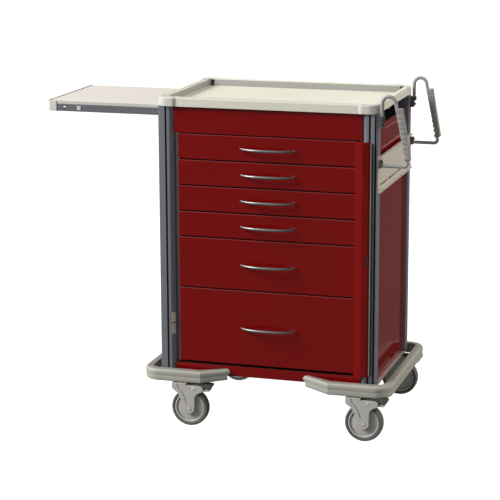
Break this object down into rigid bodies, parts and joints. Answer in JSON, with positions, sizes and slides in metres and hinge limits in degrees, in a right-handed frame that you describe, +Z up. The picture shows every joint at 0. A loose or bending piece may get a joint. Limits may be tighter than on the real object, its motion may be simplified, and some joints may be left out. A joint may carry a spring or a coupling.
{
  "type": "crash cart",
  "caption": "Mobile emergency cart with stacked drawers, recessed tray top, slide-out side shelf, hinged lock bar, push handles and braked swivel casters.",
  "frame": {"origin": "middle of the footprint on the floor, with the side shelf pulled out", "axes": "+Z up, +X from the shelf side to the push-handle side, -Y towards the drawer fronts"},
  "size_m": [1.2304, 0.5802, 1.1175],
  "materials": {
    "red_enamel": "glossy red enamel on sheet steel",
    "post_aluminium": "satin anodised extrusion",
    "tray_plastic": "cream moulded plastic",
    "bumper_plastic": "warm grey moulded bumper",
    "cream_paint": "cream powder coat",
    "grey_steel": "grey painted sheet steel",
    "zinc_steel": "zinc plated slide steel",
    "handle_steel": "grey coated steel rod",
    "grip_rubber": "grey moulded grip",
    "laminate": "pale laminate board",
    "rail_aluminium": "dark satin rail",
    "caster_plastic": "light grey nylon",
    "tyre_rubber": "grey non-marking tread",
    "clamp_plastic": "dark grey clamp blocks",
    "screw_steel": "bright hardware"
  },
  "bodies": {
    "cart": {"base_frame": "cream_paint", "front_skirt": "red_enamel", "header_panel": "red_enamel", "corner_posts": "post_aluminium", "side_panel_right": "red_enamel", "side_panel_left": "red_enamel", "back_panel": "red_enamel", "shelf_deck": "grey_steel", "top_tray": "tray_plastic", "corner_caps": "tray_plastic", "drawer_slides": "zinc_steel", "lock_bar_hinge": "cream_paint", "push_handle_front": "handle_steel", "push_handle_rear": "handle_steel", "handle_grips": "grip_rubber", "handle_clamps": "clamp_plastic", "accessory_panel": "cream_paint", "panel_screws": "screw_steel", "post_clips": "cream_paint", "bumper_right": "bumper_plastic", "bumper_left": "bumper_plastic"},
    "side_shelf": {"shelf_board": "laminate", "shelf_rails": "rail_aluminium", "shelf_end_cap": "tray_plastic"},
    "shelf_latch": {"shelf_latch_button": "screw_steel"},
    "lock_bar": {"lock_bar": "red_enamel"},
    "drawer_1": {"drawer_1_front": "red_enamel", "drawer_1_box": "grey_steel", "drawer_1_pull": "cream_paint"},
    "drawer_2": {"drawer_2_front": "red_enamel", "drawer_2_box": "grey_steel", "drawer_2_pull": "cream_paint"},
    "drawer_3": {"drawer_3_front": "red_enamel", "drawer_3_box": "grey_steel", "drawer_3_pull": "cream_paint"},
    "drawer_4": {"drawer_4_front": "red_enamel", "drawer_4_box": "grey_steel", "drawer_4_pull": "cream_paint"},
    "drawer_5": {"drawer_5_front": "red_enamel", "drawer_5_box": "grey_steel", "drawer_5_pull": "cream_paint"},
    "drawer_6": {"drawer_6_front": "red_enamel", "drawer_6_box": "grey_steel", "drawer_6_pull": "cream_paint"},
    "caster_front_left": {"caster_front_left_fork": "caster_plastic"},
    "wheel_front_left": {"caster_front_left_wheel": "caster_plastic", "caster_front_left_tyre": "tyre_rubber"},
    "brake_front_left": {"caster_front_left_pedal": "caster_plastic"},
    "caster_front_right": {"caster_front_right_fork": "caster_plastic"},
    "wheel_front_right": {"caster_front_right_wheel": "caster_plastic", "caster_front_right_tyre": "tyre_rubber"},
    "brake_front_right": {"caster_front_right_pedal": "caster_plastic"},
    "caster_rear_left": {"caster_rear_left_fork": "caster_plastic"},
    "wheel_rear_left": {"caster_rear_left_wheel": "caster_plastic", "caster_rear_left_tyre": "tyre_rubber"},
    "brake_rear_left": {"caster_rear_left_pedal": "caster_plastic"},
    "caster_rear_right": {"caster_rear_right_fork": "caster_plastic"},
    "wheel_rear_right": {"caster_rear_right_wheel": "caster_plastic", "caster_rear_right_tyre": "tyre_rubber"},
    "brake_rear_right": {"caster_rear_right_pedal": "caster_plastic"}
  },
  "joints": [
    {"name": "drawer_1_slide", "type": "slide", "parent": "cart", "child": "drawer_1", "axis": [0, -1, 0], "range_m": [0, 0.34]},
    {"name": "drawer_2_slide", "type": "slide", "parent": "cart", "child": "drawer_2", "axis": [0, -1, 0], "range_m": [0, 0.34]},
    {"name": "drawer_3_slide", "type": "slide", "parent": "cart", "child": "drawer_3", "axis": [0, -1, 0], "range_m": [0, 0.34]},
    {"name": "drawer_4_slide", "type": "slide", "parent": "cart", "child": "drawer_4", "axis": [0, -1, 0], "range_m": [0, 0.34]},
    {"name": "drawer_5_slide", "type": "slide", "parent": "cart", "child": "drawer_5", "axis": [0, -1, 0], "range_m": [0, 0.34]},
    {"name": "drawer_6_slide", "type": "slide", "parent": "cart", "child": "drawer_6", "axis": [0, -1, 0], "range_m": [0, 0.34]},
    {"name": "side_shelf_slide", "type": "slide", "parent": "cart", "child": "side_shelf", "axis": [1, 0, 0], "range_m": [0, 0.38]},
    {"name": "shelf_latch_press", "type": "slide", "parent": "side_shelf", "child": "shelf_latch", "axis": [0, 1, 0], "range_m": [0, 0.003], "stiffness_N_per_m": 400},
    {"name": "lock_bar_hinge", "type": "hinge", "parent": "cart", "child": "lock_bar", "pos_m": [0.49094, -0.2502, 0.214], "axis": [0, 0, 1], "range_deg": [0, 110]},
    {"name": "front_left_swivel", "type": "hinge", "parent": "cart", "child": "caster_front_left", "pos_m": [-0.14796, -0.2656, 0.15], "axis": [0, 0, 1], "continuous": true},
    {"name": "front_left_roll", "type": "hinge", "parent": "caster_front_left", "child": "wheel_front_left", "pos_m": [-0.10796, -0.2656, 0.0625], "axis": [0, 1, 0], "continuous": true},
    {"name": "front_left_brake", "type": "hinge", "parent": "caster_front_left", "child": "brake_front_left", "pos_m": [-0.09246, -0.2656, 0.1295], "axis": [0, 1, 0], "range_deg": [0, 12]},
    {"name": "front_right_swivel", "type": "hinge", "parent": "cart", "child": "caster_front_right", "pos_m": [0.44064, -0.2656, 0.15], "axis": [0, 0, 1], "continuous": true},
    {"name": "front_right_roll", "type": "hinge", "parent": "caster_front_right", "child": "wheel_front_right", "pos_m": [0.48064, -0.2656, 0.0625], "axis": [0, 1, 0], "continuous": true},
    {"name": "front_right_brake", "type": "hinge", "parent": "caster_front_right", "child": "brake_front_right", "pos_m": [0.49614, -0.2656, 0.1295], "axis": [0, 1, 0], "range_deg": [0, 12]},
    {"name": "rear_left_swivel", "type": "hinge", "parent": "cart", "child": "caster_rear_left", "pos_m": [-0.14796, 0.2656, 0.15], "axis": [0, 0, 1], "continuous": true},
    {"name": "rear_left_roll", "type": "hinge", "parent": "caster_rear_left", "child": "wheel_rear_left", "pos_m": [-0.10796, 0.2656, 0.0625], "axis": [0, 1, 0], "continuous": true},
    {"name": "rear_left_brake", "type": "hinge", "parent": "caster_rear_left", "child": "brake_rear_left", "pos_m": [-0.09246, 0.2656, 0.1295], "axis": [0, 1, 0], "range_deg": [0, 12]},
    {"name": "rear_right_swivel", "type": "hinge", "parent": "cart", "child": "caster_rear_right", "pos_m": [0.44064, 0.2656, 0.15], "axis": [0, 0, 1], "continuous": true},
    {"name": "rear_right_roll", "type": "hinge", "parent": "caster_rear_right", "child": "wheel_rear_right", "pos_m": [0.48064, 0.2656, 0.0625], "axis": [0, 1, 0], "continuous": true},
    {"name": "rear_right_brake", "type": "hinge", "parent": "caster_rear_right", "child": "brake_rear_right", "pos_m": [0.49614, 0.2656, 0.1295], "axis": [0, 1, 0], "range_deg": [0, 12]}
  ]
}
